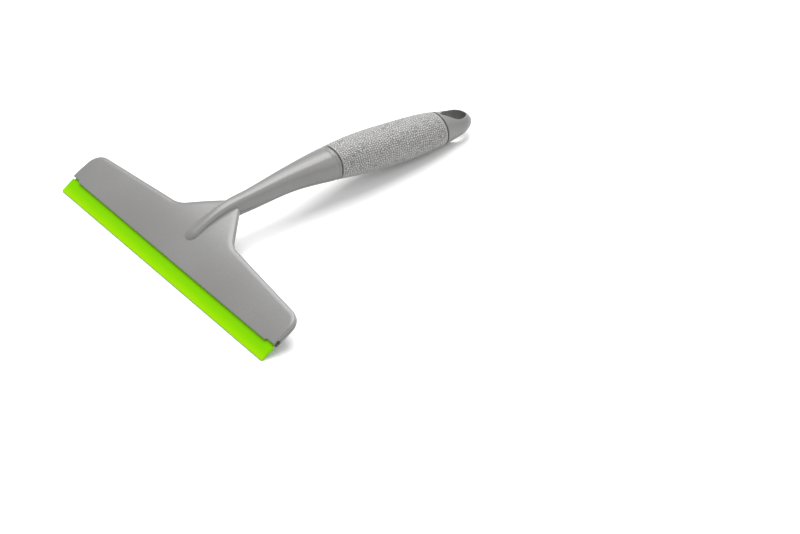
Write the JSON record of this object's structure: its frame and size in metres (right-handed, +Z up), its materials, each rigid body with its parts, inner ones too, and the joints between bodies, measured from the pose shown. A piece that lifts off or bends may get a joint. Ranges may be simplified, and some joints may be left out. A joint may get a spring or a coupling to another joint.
{
  "type": "window cleaning squeegee",
  "caption": "Wide T-shaped squeegee: a curved two-shell plastic head and arched handle with a textured sleeve, a hanging eye and a flexible rubber blade.",
  "frame": {"origin": "on the table, under the middle of the squeegee as it rests on its blade edge and the back of its handle", "axes": "+X along the blade, +Y from the blade edge towards the hanging eye, +Z up"},
  "size_m": [0.24, 0.276, 0.0375],
  "materials": {
    "body": "satin",
    "sleeve": "fine pebbled grain",
    "blade": "smooth satin"
  },
  "bodies": {
    "handle": {"top_shell": "body", "bottom_shell": "body", "grip_sleeve": "sleeve"},
    "blade": {"blade": "blade"}
  },
  "joints": [
    {"name": "blade_flex", "type": "hinge", "parent": "handle", "child": "blade", "pos_m": [0, -0.12419, 0.00832], "axis": [1, 0, 0], "range_deg": [-8, 8], "stiffness_Nm_per_rad": 0.3}
  ]
}
